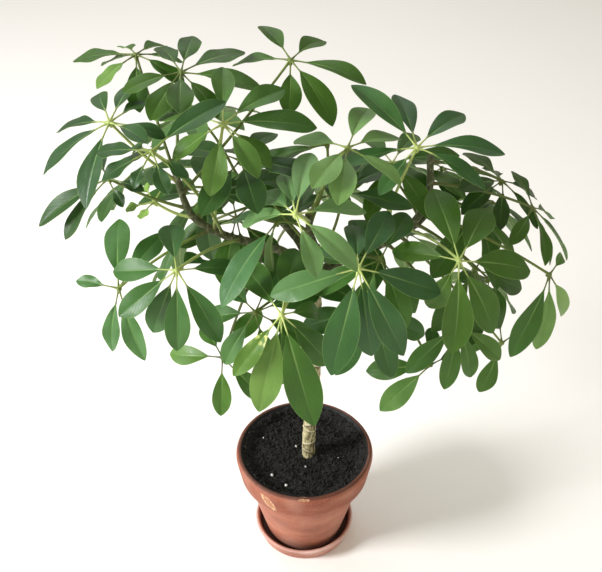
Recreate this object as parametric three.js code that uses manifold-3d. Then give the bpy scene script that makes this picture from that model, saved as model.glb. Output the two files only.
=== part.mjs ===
// A potted umbrella plant: a woody stem with five branches and palmate leaves, standing in soil
// in a terracotta pot with a rolled collar, on a terracotta saucer. Millimetres, +Z up. The
// origin is the middle of the saucer's underside, on the pot's axis, and the plant's fullest
// side faces -Y.
import * as THREE from 'three';
import { mergeVertices } from 'three/addons/utils/BufferGeometryUtils.js';
import Module from 'manifold-3d';

const wasm = await Module();
wasm.setup();

// Driving dimensions
const FIT_GAP = 0.3; // between pieces that touch
const SAUCER = { footRadius: 43.5, rimRadius: 49, height: 17, wall: 4, floor: 5, sides: 40 };
const POT = {
  bottom: SAUCER.floor + FIT_GAP,
  top: 111,
  footRadius: 37,
  bodyRadius: 56,
  collarBottom: 84,
  collarRadius: 61,
  rimRadius: 65,
  wall: 5.5,
  floorThickness: 6,
  holeRadius: 6,
  sides: 36,
};
const SOIL = { level: 102, relief: 1, rings: 6, sides: 26 };
const TRUNK_BOTTOM = 62; // how deep the stem stands in the soil
const RIDGE = 1.05; // how far the ridge at a leaf scar stands out, as a share of the radius
const PETIOLE = { baseRadius: 1.5, tipRadius: 1.1, rootDepth: 1.7, sides: 4, steps: 4 };
const HUB = { radius: 3.4, above: 1.2, below: 4.6 }; // the knuckle where a leaf's leaflets spread
const LEAFLET = {
  stalk: 12, // length of the bare stalk, counted in the leaflet's length
  stalkStart: 1, // from the middle of the knuckle
  stalkHalf: 0.7,
  stalkKeel: [1.5, 1.3], // depth at the knuckle and at the blade
  keel: 1.1, // depth of the blade at its midrib
  widthShare: 0.158, // half the width, as a share of the length
  curl: 28, // degrees from end to end
  fold: 0.1, // how far the edges rise, as a share of half the width
  stations: [0.42, 0.8], // sections of the blade, between its stalk and its tip
};

// Room kept between blades, stalks and stems. Leaflets of one leaf meet at the knuckle, so they
// are held apart only past farShare of their length.
const CLEARANCE = { gap: 3.7, least: 3, step: 4, start: 4, farShare: 0.36, reach: 8 };
const VARIATION = { length: 0.05, curl: 6, droop: 4 }; // share of the length, degrees, degrees

// Stems: a smooth curve through hand-placed points, with the radius at each end
const STEMS = {
  trunk: {
    points: [[3, 0, TRUNK_BOTTOM], [5, 0, 150], [9, 0, 215], [8, 3, 334]],
    radii: [6.4, 4.4],
  },
  front: { points: [[8, 3, 318], [8, -12, 340], [4, -24, 360], [2, -28, 380]], radii: [3.6, 2.4] },
  left: {
    points: [[8, 3, 314], [-28, 8, 330], [-64, 6, 342], [-88, 4, 362], [-98, 8, 396]],
    radii: [4, 2.4],
  },
  right: {
    points: [[8, 3, 308], [44, 14, 320], [80, 24, 334], [97, 28, 360], [97, 30, 400]],
    radii: [4.2, 2.6],
  },
  back: {
    points: [[8, 3, 304], [-6, 36, 318], [-30, 64, 332], [-62, 86, 356]],
    radii: [3.6, 2.2],
  },
  rear: { points: [[76, 24, 330], [98, 52, 328], [112, 78, 334]], radii: [3, 2.2] },
};

// Leaves on each stem: how far up the stem the petiole grows, the hub, the tilt and the way it
// tilts, how far the leaflets droop from the leaf's plane at the hub, their length, and the
// compass directions they spread in, from +X towards +Y. A list adds the leaflet's share of the
// length and how far it droops beyond the others.
const fan = (count, first) => Array.from({ length: count }, (_, i) => first + (i * 360) / count);
const LEAVES = {
  front: [
    [0.2, [-17, -85, 332], 35, 270, 15, 70,
      [[228, 0.82, -4], [254, 1.1, 5], [268, 1, 35], [288, 1.15], [328, 0.9, 25], [122, 1.05, 5],
        [76, 1.05], [30, 0.8, 25]]],
    [0.92, [-7, -60, 399], 18, 270, 5, 64,
      [[98, 1, -5], [80, 1.05, -15], 24, [318, 0.95, -5], [290, 0.75, -5], [150, 0.9, 20],
        [122, 0.9, 5]]],
    [0.75, [-21, -30, 375], 20, 250, 5, 72,
      [233, [140, 0.85, 20], [162, 0.9, 25], [70, 1.05], [100, 0.9, 5]]],
    [0.45, [36, -80, 368], 38, 270, 12, 72,
      [[194, 0.9, -10], [255, 1.05], [300, 0.93], [284, 1, 25], [355, 1, 10], [65, 0.95, 5],
        [90, 0.95], [135, 0.8, 25]]],
    [0.98, [30, -10, 425], 8, 270, 5, 66,
      [[72, 1, -20], [38, 0.9, -8], [330, 0.75], [261, 0.86, -8], [242, 0.85], [140, 0.8]]],
    [0.87, [16, 15, 416], 12, 220, 5, 68,
      [[190, 1.15], [160, 0.9, 5], [110, 0.8, 5]]],
  ],
  right: [
    [0.55, [110, -55, 358], 40, 270, 12, 70,
      [[158, 0.88, 5], [237, 0.85, 5], [268, 1.05], [305, 1, 5], [2, 1, 5], [60, 0.95, 5], 100]],
    [0.35, [82, 5, 418], 8, 270, 5, 66,
      [[102, 0.9, -28], [50, 1, -18], [10, 1.12, -10], [342, 0.95, -3], [185, 0.95, -8],
        [135, 1.15, -25], [226, 0.75, 5]]],
    [0.96, [161, 50, 367], 20, 330, 5, 56,
      [112, [85, 0.9], [207, 1, -5], [236, 0.9, -5], [270, 0.8], [25, 1, 5], [330, 0.9, 5],
        [150, 0.8]]],
    [0.84, [182, 25, 356], 28, 350, 8, 62,
      [[355, 1.05], [285, 0.9], [245, 0.8], [320, 0.8, 5], [40, 0.9, 10], [100, 0.8]]],
    [0.68, [190, -20, 322], 48, 290, 5, 68,
      [[258, 1.05, 5], [288, 1.05, 5], [330, 0.9, 20], [50, 0.5, 10]]],
    [0.3, [106, -20, 230], 40, 280, 10, 60,
      [[185, 0.92, 5], [225, 0.95, 5], [80, 0.7, 10], [30, 0.6, 10]]],
    [0.5, [174, 15, 225], 55, 260, 10, 60,
      [245, [180, 0.8, 10], 90, [30, 0.8, 10]]],
    [0.44, [69, 40, 388], 15, 250, 0, 62, fan(8, 20)],
    [0.6, [142, 20, 300], 50, 300, 5, 62, [250, 285, 320, 0, 60]],
    [0.74, [138, 30, 350], 30, 330, 5, 64, [342, 30, 75, 120, 200, 250, 300]],
    [0.42, [126, -12, 268], 50, 285, 12, 60, [232, 262, 296, 332, 178]],
  ],
  left: [
    [0.95, [-140, 0, 440], 20, 230, 5, 62,
      [[158, 0.92, -5], [198, 1.05, -3], [246, 1.1, 5], [345, 0.72], [318, 0.7, -5],
        [70, 0.78, -20], [102, 0.7, -20], [45, 0.65, -12]]],
    [0.9, [-130, 70, 465], 6, 270, 4, 54,
      [[172, 0.95, -4], [150, 0.75], [228, 0.75, 5], [278, 0.9, 5], [330, 0.85], [35, 0.8, 5],
        [70, 0.9, -5], [115, 0.9, -5]]],
    [0.99, [-92, 40, 462], 10, 290, 0, 62,
      [[352, 1.1, -3], [312, 0.8, 5], [207, 0.75, -5], [242, 0.8, 5], [275, 0.8, 5], [38, 0.9, -10],
        [85, 0.75, -15], [118, 0.75, -12]]],
    [0.6, [-58, -10, 443], 18, 290, 5, 68,
      [[14, 1.05, -12], [45, 0.9, -18], [95, 0.85, -18], [306, 0.76, -8], [205, 0.7, 10],
        [262, 0.8, 20], [158, 1.05, -2], [335, 0.7, 10]]],
    [0.55, [-105, -35, 434], 18, 270, 8, 56,
      [[172, 0.72, -8], [205, 0.68], [245, 0.5, 5], [292, 0.62, -5], [330, 0.55], [38, 1.15, -15],
        [92, 0.7], [135, 0.75, -5]]],
    [0.8, [-146, -5, 398], 30, 220, 5, 64,
      [[194, 1.1, -15], [208, 0.95, -6], [290, 0.45], [328, 0.5], [60, 0.8, 10], 115]],
    [0.45, [-92, -60, 353], 35, 275, 10, 66,
      [[104, 1.1], [66, 1, 5], [15, 0.8], 306, [270, 1, 10], [172, 0.9], [214, 0.88],
        [240, 0.9, 25]]],
    [0.62, [-144, -30, 316], 40, 260, 15, 60,
      [[98, 1.15, -5], [60, 1, -5], [165, 0.6, -20], [252, 0.88, 5], 285]],
    [0.3, [-69, -20, 238], 40, 265, 8, 58,
      [170, [265, 0.9], 55, [120, 0.8, 10], [315, 0.9, 10]]],
    [0.88, [-11, 55, 466], 12, 290, 5, 58,
      [[160, 0.9, -12], [120, 0.9, -25], [60, 0.95, -15], [305, 1.15], [342, 1.1, -5], [270, 0.8]]],
    [0.7, [-78, 18, 372], 20, 265, 5, 66,
      [95, [25, 1.1], [345, 1, 5], [165, 1, 5], [270, 1, 20], [205, 1, 5], [135, 1, 5],
        [300, 1, 10]]],
    [0.74, [-116, 6, 372], 30, 200, -25, 24, fan(5, 40)],
  ],
  back: [
    [0.96, [-100, 118, 398], 22, 130, 6, 62, fan(8, 15)],
    [0.9, [-150, 92, 352], 34, 150, 8, 62, fan(7, 40)],
    [0.8, [-42, 100, 345], 28, 100, 6, 64, fan(7, 5)],
    [0.62, [10, 112, 335], 30, 85, 8, 64, fan(8, 30)],
    [0.7, [-112, 86, 290], 48, 150, 10, 58, fan(6, 10)],
    [0.45, [-30, 100, 262], 52, 110, 12, 58, fan(6, 35)],
  ],
  rear: [
    [0.55, [66, 112, 355], 24, 95, 4, 62, fan(7, 50)],
    [0.84, [122, 108, 350], 26, 70, 5, 62, fan(8, 10)],
    [0.97, [168, 96, 322], 38, 45, 8, 60, fan(7, 30)],
    [0.75, [98, 118, 276], 48, 80, 10, 60, fan(6, 20)],
    [0.45, [168, 66, 258], 54, 30, 12, 58, fan(6, 45)],
  ],
  trunk: [
    [0.9, [-56, 30, 344], 24, 255, 6, 58, fan(8, 10)],
    [0.96, [55, -44, 352], 24, 270, 6, 58, fan(8, 20)],
    [0.94, [25, 2, 382], 14, 265, 6, 58, fan(8, 30)],
    [0.99, [-48, 0, 410], 14, 260, 6, 54, fan(8, 15)],
    [0.88, [-38, -46, 305], 42, 255, 10, 56, fan(7, 20)],
    [0.85, [52, -38, 300], 42, 285, 10, 56, fan(7, 40)],
  ],
};

// ---- Closed bodies ----
const radians = THREE.MathUtils.degToRad;
const wave = (x) => Math.sin(x * 12.9898); // a fixed, uneven -1 to 1 for natural variation

function solid(geometry) {
  geometry.deleteAttribute('normal');
  geometry.deleteAttribute('uv');
  const merged = mergeVertices(geometry, 1e-4);
  const corners = Array.from(merged.index.array);
  const triVerts = [];
  for (let i = 0; i < corners.length; i += 3) {
    const [a, b, c] = corners.slice(i, i + 3);
    if (a !== b && b !== c && c !== a) triVerts.push(a, b, c);
  }
  return new wasm.Manifold(new wasm.Mesh({
    numProp: 3,
    vertProperties: Float32Array.from(merged.attributes.position.array),
    triVerts: Uint32Array.from(triVerts),
  }));
}

function bodyMesh(name, body, material) {
  const { vertProperties, triVerts } = body.getMesh();
  const geometry = new THREE.BufferGeometry();
  geometry.setAttribute('position', new THREE.BufferAttribute(vertProperties, 3));
  geometry.setIndex(new THREE.BufferAttribute(triVerts, 1));
  geometry.computeVertexNormals();
  const mesh = new THREE.Mesh(geometry, material);
  mesh.name = name;
  return mesh;
}

// A skin through rings of points, each running anticlockwise seen from the far end, with a flat
// cap at the start and a flat cap or a point at the end
function loft(rings, tip) {
  const sides = rings[0].length;
  const points = rings.flat();
  const faces = [];
  for (let i = 0; i < rings.length - 1; i++) {
    for (let j = 0; j < sides; j++) {
      const a = i * sides + j;
      const b = i * sides + ((j + 1) % sides);
      faces.push(a, b, b + sides, a, b + sides, a + sides);
    }
  }
  const last = (rings.length - 1) * sides;
  for (let j = 1; j < sides - 1; j++) {
    faces.push(0, j + 1, j);
    if (!tip) faces.push(last, last + j, last + j + 1);
  }
  if (tip) {
    for (let j = 0; j < sides; j++) faces.push(last + j, last + ((j + 1) % sides), points.length);
    points.push(tip);
  }
  const geometry = new THREE.BufferGeometry().setFromPoints(points);
  geometry.setIndex(faces);
  return solid(geometry);
}

// Round sections along a curve, from one share of its length to another
function roundRings(curve, sides, steps, radiusAt, from = 0, to = 1) {
  const side = new THREE.Vector3(0.3, -0.9, 0.2);
  return Array.from({ length: steps + 1 }, (_, i) => {
    const share = from + ((to - from) * i) / steps;
    const centre = curve.getPointAt(share);
    const along = curve.getTangentAt(share);
    const u = side.clone().cross(along).setLength(radiusAt(share));
    const v = along.clone().cross(u);
    return Array.from({ length: sides }, (_, j) => {
      const angle = (j * 2 * Math.PI) / sides;
      const out = u.clone().multiplyScalar(Math.cos(angle)).addScaledVector(v, Math.sin(angle));
      return out.add(centre);
    });
  });
}

function turned(profile, sides) {
  const geometry = new THREE.LatheGeometry(profile.map(([r, z]) => new THREE.Vector2(r, z)), sides);
  return geometry.rotateX(Math.PI / 2);
}

// ---- Saucer, pot and soil ----
function makeSaucer() {
  const { footRadius, rimRadius, height, wall, floor, sides } = SAUCER;
  return solid(turned([
    [0, 0],
    [footRadius, 0],
    [footRadius + 1.2, 1],
    [rimRadius - 0.8, height - 2.4],
    [rimRadius, height - 0.8],
    [rimRadius - wall / 2, height],
    [rimRadius - wall, height - 1],
    [footRadius - 0.5, floor + 1.6],
    [footRadius - 2.4, floor],
    [0, floor],
  ], sides));
}

const innerRadiusAt = (z) => {
  const slope = (POT.bodyRadius - POT.footRadius) / (POT.collarBottom - POT.bottom);
  return POT.footRadius + slope * (z - POT.bottom) - POT.wall;
};

function makePot() {
  const { bottom, top, footRadius, bodyRadius, collarBottom, collarRadius, rimRadius } = POT;
  const inside = bottom + POT.floorThickness;
  return solid(turned([
    [POT.holeRadius, bottom],
    [footRadius - 1, bottom],
    [footRadius, bottom + 1],
    [bodyRadius, collarBottom - 1.5],
    [collarRadius - 1, collarBottom - 1],
    [collarRadius, collarBottom],
    [rimRadius, top - 5],
    [rimRadius - 0.8, top - 1.8],
    [rimRadius - 3.4, top],
    [rimRadius - 6, top - 1.4],
    [innerRadiusAt(SOIL.level), SOIL.level],
    [innerRadiusAt(inside + 3), inside + 3],
    [innerRadiusAt(inside) - 3, inside],
    [POT.holeRadius, inside],
    [POT.holeRadius, bottom],
  ], POT.sides));
}

function makeSoil(trunkHole) {
  const { level, relief, rings, sides } = SOIL;
  const bottom = POT.bottom + POT.floorThickness + FIT_GAP;
  const radiusAt = (z) => innerRadiusAt(z) - 2 * FIT_GAP;
  const top = Array.from({ length: rings }, (_, i) => (
    [radiusAt(level) * (1 - (i + 0.5) / rings), level]));
  const geometry = turned([
    [0, bottom],
    [radiusAt(bottom) - 3.2, bottom],
    [radiusAt(bottom + 4), bottom + 4],
    [radiusAt(level - 3), level - 3],
    [radiusAt(level) - 0.4, level - 0.6],
    ...top,
    [0, level],
  ], sides);
  const place = geometry.attributes.position;
  for (let i = 0; i < place.count; i++) {
    if (place.getZ(i) < level - 0.1) continue;
    const [x, y] = [place.getX(i), place.getY(i)];
    const heap = Math.sin(x / 7.3) * Math.cos(y / 6.1) + 0.6 * Math.sin(x / 3.1 + y / 4.3);
    place.setZ(i, level + relief * heap);
  }
  return solid(geometry).subtract(trunkHole);
}

// ---- Stems ----
const stemCurves = Object.fromEntries(Object.entries(STEMS).map(([name, { points }]) => (
  [name, new THREE.CatmullRomCurve3(points.map((p) => new THREE.Vector3(...p)))])));
const stemRadius = (name, share) => THREE.MathUtils.lerp(...STEMS[name].radii, share);

function makeTrunkHole() {
  const stand = 0.25; // share of the trunk's length that reaches out of the soil
  const radius = (share) => stemRadius('trunk', share) * RIDGE + 1.2 * FIT_GAP;
  const rings = roundRings(stemCurves.trunk, 8, 4, radius, 0, stand);
  rings[0].forEach((point) => point.setZ(TRUNK_BOTTOM - 1.5 * FIT_GAP));
  return loft(rings);
}

function makeStems() {
  const scarSpacing = 3; // rings from one leaf scar's ridge to the next
  const bodies = Object.entries(stemCurves).map(([name, curve]) => {
    const trunk = name === 'trunk';
    const steps = Math.round(curve.getLength() / (trunk ? 10 : 18));
    const ridge = (share) => (Math.round(share * steps) % scarSpacing === 0 ? RIDGE : 1);
    const radius = (share) => stemRadius(name, share) * (trunk ? ridge(share) : 1);
    return loft(roundRings(curve, trunk ? 8 : 6, steps, radius));
  });
  return bodies.reduce((all, body) => all.add(body));
}

// ---- Keeping clear: everything placed so far, as short bars with a radius ----
const bars = [];

function addBar(a, b, radius, owner) {
  const middle = a.clone().lerp(b, 0.5);
  bars.push({ line: new THREE.Line3(a, b), middle, half: a.distanceTo(b) / 2, radius, owner });
}

// The least distance from the points to the bars. A leaf's own bars count for its far points only.
function roomAround(points, owner) {
  const centre = points[Math.floor(points.length / 2)].place;
  const reach = Math.max(...points.map((p) => p.place.distanceTo(centre))) + CLEARANCE.reach;
  const near = bars.filter((bar) => bar.middle.distanceTo(centre) < reach + bar.half);
  const foot = new THREE.Vector3();
  let room = Infinity;
  for (const bar of near) {
    for (const point of points) {
      if (bar.owner === owner && !point.far) continue;
      bar.line.closestPointToPoint(point.place, true, foot);
      room = Math.min(room, foot.distanceTo(point.place) - bar.radius);
    }
  }
  return room;
}

// The first way of bending that leaves room, or the roomiest one
function bendClear(bends, place, owner) {
  let best = { room: -Infinity };
  for (const bend of bends) {
    const made = place(bend);
    const room = roomAround(made.points, owner);
    if (room > best.room) best = { ...made, room };
    if (room >= CLEARANCE.gap) break;
  }
  return best;
}

// ---- Leaves ----
function petioleCurve(stem, share, hub, bulge) {
  const axis = stemCurves[stem].getPointAt(share);
  const along = stemCurves[stem].getTangentAt(share);
  const via = axis.clone().lerp(hub, 0.5).add(bulge);
  const out = via.clone().sub(axis);
  out.addScaledVector(along, -out.dot(along)).normalize();
  const sunk = stemRadius(stem, share) - PETIOLE.rootDepth;
  return new THREE.QuadraticBezierCurve3(axis.addScaledVector(out, sunk), via, hub);
}

// Ways a petiole may bulge at its middle
const PETIOLE_BENDS = [[0, 0, 8], [10, 0, 8], [-10, 0, 8], [0, 10, 8], [0, -10, 8], [0, 0, 20],
  [0, 0, -6], [16, 16, 8], [-16, 16, 8], [16, -16, 8], [-16, -16, 8], [0, 0, -16], [0, 0, 32]];

function placePetiole(leaf) {
  const place = (bulge) => {
    const curve = petioleCurve(leaf.stem, leaf.share, leaf.hub, new THREE.Vector3(...bulge));
    const steps = Math.ceil(curve.getLength() / 3);
    const points = [];
    for (let i = 3; i <= steps; i++) {
      points.push({ place: curve.getPointAt(i / steps), far: false });
    }
    return { curve, points };
  };
  leaf.petiole = bendClear(PETIOLE_BENDS, place, leaf.name).curve;
  const points = leaf.petiole.getSpacedPoints(8);
  points.slice(1).forEach((point, i) => addBar(points[i], point, PETIOLE.baseRadius, leaf.name));
}

// A leaflet's middle line bends evenly down from the leaf's plane
function leafletFrame(leaf, { direction, droop, curl, length }, s) {
  const way = radians(direction);
  const out = new THREE.Vector3(Math.cos(way), Math.sin(way), 0).applyQuaternion(leaf.tilt);
  const up = new THREE.Vector3(0, 0, 1).applyQuaternion(leaf.tilt);
  const bend = curl / length;
  const angle = droop + bend * s;
  const along = out.clone().multiplyScalar(Math.cos(angle)).addScaledVector(up, -Math.sin(angle));
  const normal = out.clone().multiplyScalar(Math.sin(angle)).addScaledVector(up, Math.cos(angle));
  const centre = leaf.hub.clone()
    .addScaledVector(out, (Math.sin(angle) - Math.sin(droop)) / bend)
    .addScaledVector(up, (Math.cos(angle) - Math.cos(droop)) / bend);
  return { centre, normal, side: along.clone().cross(normal) };
}

// Half the blade's width: narrow at the stalk, widest past the middle, blunt at the tip
function bladeHalf(t) {
  const [rise, fall] = [1.1, 0.72];
  const widest = rise / (rise + fall);
  return (t ** rise * (1 - t) ** fall) / (widest ** rise * (1 - widest) ** fall);
}

function halfWidth(leaflet, s) {
  const t = (s - LEAFLET.stalk) / (leaflet.length - LEAFLET.stalk);
  if (t <= 0) return LEAFLET.stalkHalf;
  return Math.max(LEAFLET.stalkHalf * (1 - t), leaflet.half * bladeHalf(t));
}

function acrossBlade(leaflet, s, share) {
  const { centre, normal, side } = leaflet.frame(s);
  const half = halfWidth(leaflet, s);
  const rise = half * LEAFLET.fold * Math.abs(share);
  return centre.addScaledVector(side, half * share).addScaledVector(normal, rise);
}

// Ways a leaflet may turn to keep clear: degrees down and degrees round the knuckle
const LEAFLET_BENDS = [[0, 0], [6, 0], [-6, 0], [0, 6], [0, -6], [12, 0], [-12, 0], [8, 8], [8, -8],
  [-8, 8], [-8, -8], [18, 0], [0, 14], [0, -14], [-18, 0], [16, 12], [16, -12], [-14, 12], [-14, -12],
  [26, 0], [26, 12], [26, -12], [34, 0], [0, 22], [0, -22]];

function placeLeaflet(leaf, index, { direction, lengthShare, ownDroop }) {
  const seed = leaf.seed + index;
  const length = leaf.size * lengthShare * (1 + VARIATION.length * wave(seed));
  const curl = radians(LEAFLET.curl + VARIATION.curl * wave(seed + 0.37));
  const droop = leaf.droop + ownDroop + VARIATION.droop * wave(seed + 0.71);
  const steps = Math.ceil((length - CLEARANCE.start) / CLEARANCE.step);
  const place = ([down, round]) => {
    const leaflet = {
      direction: direction + round,
      droop: radians(droop + down),
      curl,
      length,
      half: length * LEAFLET.widthShare,
    };
    leaflet.frame = (s) => leafletFrame(leaf, leaflet, s);
    const points = [];
    const ribs = [];
    for (let i = 0; i <= steps; i++) {
      const s = THREE.MathUtils.lerp(CLEARANCE.start, length, i / steps);
      const blade = s >= LEAFLET.stalk;
      for (const share of blade ? [-1, -2 / 3, -1 / 3, 0, 1 / 3, 2 / 3, 1] : [0]) {
        points.push({ place: acrossBlade(leaflet, s, share), far: s > CLEARANCE.farShare * length });
      }
      if (blade) ribs.push([acrossBlade(leaflet, s, -1), acrossBlade(leaflet, s, 1)]);
    }
    return { leaflet, points, ribs };
  };
  const { leaflet, ribs, room } = bendClear(LEAFLET_BENDS, place, leaf.name);
  if (room < CLEARANCE.least) return;
  leaf.leaflets.push(leaflet);
  ribs.forEach(([a, b]) => addBar(a, b, 0.3, leaf.name));
  addBar(leaf.hub, leaflet.frame(LEAFLET.stalk).centre, LEAFLET.stalkHalf, leaf.name);
}

function leafletBody(leaflet) {
  const { stalk, stalkStart, stalkKeel, keel, stations } = LEAFLET;
  const ring = (s, depth) => {
    const { centre, normal } = leaflet.frame(s);
    const lowest = centre.addScaledVector(normal, -depth);
    return [lowest, acrossBlade(leaflet, s, -1), acrossBlade(leaflet, s, 1)];
  };
  const bare = [ring(stalkStart, stalkKeel[0]), ring(stalk, stalkKeel[1])];
  const blade = stations.map((t) => ring(THREE.MathUtils.lerp(stalk, leaflet.length, t), keel));
  return loft([...bare, ...blade], leaflet.frame(leaflet.length).centre);
}

const petioleRadius = (share) => THREE.MathUtils.lerp(PETIOLE.baseRadius, PETIOLE.tipRadius, share);

// The knuckle: a cone with a corner between each two leaflets, so that every stalk leaves through
// the middle of a side
function hubBody(leaf) {
  const onLeaf = (x, y, z) => (
    new THREE.Vector3(x, y, z).applyQuaternion(leaf.tilt).add(leaf.hub));
  const ways = leaf.leaflets.map((leaflet) => leaflet.direction).sort((a, b) => b - a);
  const corners = ways.map((way, i) => {
    const next = i + 1 < ways.length ? ways[i + 1] : ways[0] - 360;
    const angle = radians((way + next) / 2);
    return onLeaf(HUB.radius * Math.cos(angle), HUB.radius * Math.sin(angle), HUB.above);
  });
  return loft([corners], onLeaf(0, 0, -HUB.below));
}

function leafBody(leaf) {
  const petiole = loft(roundRings(leaf.petiole, PETIOLE.sides, PETIOLE.steps, petioleRadius));
  const stalks = hubBody(leaf).add(petiole);
  return leaf.leaflets.map(leafletBody).reduce((all, body) => all.add(body), stalks);
}

// The hole in the stem that a petiole grows out of
function petioleSocket(leaf) {
  const radius = (share) => petioleRadius(share) + 1.4 * FIT_GAP;
  const rings = roundRings(leaf.petiole, PETIOLE.sides, 1, radius, 0, 1 / PETIOLE.steps);
  const back = leaf.petiole.getTangentAt(0).multiplyScalar(-FIT_GAP);
  rings[0].forEach((point) => point.add(back));
  return loft(rings);
}

const leaves = Object.entries(LEAVES).flatMap(([stem, rows], group) => (
  rows.map(([share, hub, tilt, toward, droop, size, spread], i) => {
    const lean = new THREE.Vector3(-Math.sin(radians(toward)), Math.cos(radians(toward)), 0);
    return {
      name: `leaf_${stem}_${String(i + 1).padStart(2, '0')}`,
      stem,
      share,
      hub: new THREE.Vector3(...hub),
      tilt: new THREE.Quaternion().setFromAxisAngle(lean, radians(tilt)),
      droop,
      size,
      spread,
      seed: 100 * group + 10 * i,
      leaflets: [],
    };
  })));

// Stems are placed first, then every petiole and knuckle, then the leaflets one by one
for (const [name, curve] of Object.entries(stemCurves)) {
  const points = curve.getSpacedPoints(24);
  points.slice(1).forEach((point, i) => addBar(points[i], point, stemRadius(name, 0), name));
}
leaves.forEach(placePetiole);
leaves.forEach(({ hub, name }) => addBar(hub, hub.clone().setZ(hub.z + 0.1), HUB.radius, name));
leaves.forEach((leaf) => leaf.spread.forEach((entry, index) => {
  const [direction, lengthShare = 1, ownDroop = 0] = [entry].flat();
  placeLeaflet(leaf, index, { direction, lengthShare, ownDroop });
}));

// ---- The plant, its pot and its saucer ----
const clay = new THREE.MeshStandardMaterial({ color: '#b5643f', roughness: 0.85 });
const clayShade = new THREE.MeshStandardMaterial({ color: '#a95a3a', roughness: 0.85 });
const earth = new THREE.MeshStandardMaterial({ color: '#1d1814', roughness: 1 });
const bark = new THREE.MeshStandardMaterial({ color: '#b3a27c', roughness: 0.8 });
const greens = ['#3f7a3c', '#35693a', '#4c8a44'];

const group = new THREE.Group();
const stems = leaves.reduce((body, leaf) => body.subtract(petioleSocket(leaf)), makeStems());
group.add(
  bodyMesh('saucer', makeSaucer(), clayShade),
  bodyMesh('pot', makePot(), clay),
  bodyMesh('soil', makeSoil(makeTrunkHole()), earth),
  bodyMesh('trunk', stems, bark),
);
leaves.forEach((leaf, i) => {
  const green = new THREE.MeshStandardMaterial({ color: greens[i % greens.length], roughness: 0.5 });
  group.add(bodyMesh(leaf.name, leafBody(leaf), green));
});

export default group;
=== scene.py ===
import math
from functools import partial

import bpy
import numpy as np
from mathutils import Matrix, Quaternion, Vector


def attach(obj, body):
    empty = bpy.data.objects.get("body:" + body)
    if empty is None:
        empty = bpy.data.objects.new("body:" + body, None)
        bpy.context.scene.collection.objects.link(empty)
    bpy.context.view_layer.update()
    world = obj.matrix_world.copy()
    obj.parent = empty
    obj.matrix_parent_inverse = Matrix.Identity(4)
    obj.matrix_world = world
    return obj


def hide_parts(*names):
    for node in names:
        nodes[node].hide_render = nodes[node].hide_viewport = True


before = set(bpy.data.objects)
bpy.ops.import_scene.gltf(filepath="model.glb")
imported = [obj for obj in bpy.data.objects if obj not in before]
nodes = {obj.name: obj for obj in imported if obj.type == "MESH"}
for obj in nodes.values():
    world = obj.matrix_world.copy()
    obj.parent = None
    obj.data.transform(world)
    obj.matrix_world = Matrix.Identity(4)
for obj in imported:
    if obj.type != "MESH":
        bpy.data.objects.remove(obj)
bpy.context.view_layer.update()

mm = 0.001


def toLinear(hexColour):
    parts = [int(hexColour[i:i + 2], 16) / 255 for i in (1, 3, 5)]
    return tuple(c / 12.92 if c <= 0.04045 else ((c + 0.055) / 1.055) ** 2.4 for c in parts) + (1.0,)


# Settings go to the node, its colour stops or its socket of that name, and the feeds fill its open
# sockets in order. A node or a socket is linked in, and any other value is set.
def addNode(tree, kind, settings, *feeds):
    node = tree.nodes.new("ShaderNode" + kind)
    for i, (place, colour) in enumerate(settings.get("stops", [])):
        ramp = node.color_ramp.elements
        stop = ramp[i] if i < len(ramp) else ramp.new(place)
        stop.position, stop.color = place, toLinear(colour)
    inputs = []
    for name, value in settings.items():
        if hasattr(node, name):
            setattr(node, name, value)
        elif name != "stops":
            inputs.append((node.inputs[name], value))
    inputs += zip([socket for socket in node.inputs if socket.enabled], feeds)
    for socket, value in inputs:
        if isinstance(value, bpy.types.Node):
            value = next(output for output in value.outputs if output.enabled)
        if isinstance(value, bpy.types.NodeSocket):
            tree.links.new(value, socket)
        else:
            socket.default_value = toLinear(value) if isinstance(value, str) else value
    return node


# A new material. Its finish is a function that adds the nodes, with patterns laid out in place, the
# object's own metres, and gives back the last one.
def makeMaterial(name, finish, *details):
    material = bpy.data.materials.new(name)
    material.use_nodes = True
    material.node_tree.nodes.clear()
    add = partial(addNode, material.node_tree)
    place = add("TexCoord", {}).outputs["Object"]
    add("OutputMaterial", {}, finish(add, place, *details))
    return material


def addObject(name, data):
    thing = bpy.data.objects.new(name, data)
    bpy.context.scene.collection.objects.link(thing)
    return thing


# The camera stands in front and above, looking down on the pot
cameraSettings = {"place": (-0.0033, -0.536, 0.673), "tilt": 54.96, "lens": 48}
cameraData = bpy.data.cameras.new("camera")
cameraData.lens = cameraSettings["lens"]
camera = addObject("camera", cameraData)
camera.location = cameraSettings["place"]
camera.rotation_euler = (math.radians(cameraSettings["tilt"]), 0, 0)
bpy.context.scene.camera = camera
print("camera placed")


# Meshes are gathered ring by ring: each skin holds points, a four-number map for its material,
# faces and the finish of each face
def newSkin():
    return {"points": [], "maps": [], "faces": [], "finish": [], "count": 0}


def addShape(skin, points, maps, faces, finish):
    skin["faces"] += [tuple(skin["count"] + i for i in face) for face in faces]
    skin["finish"] += finish
    skin["points"].append(points)
    skin["maps"].append(np.broadcast_to(maps, (len(points), 4)))
    skin["count"] += len(points)


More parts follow.
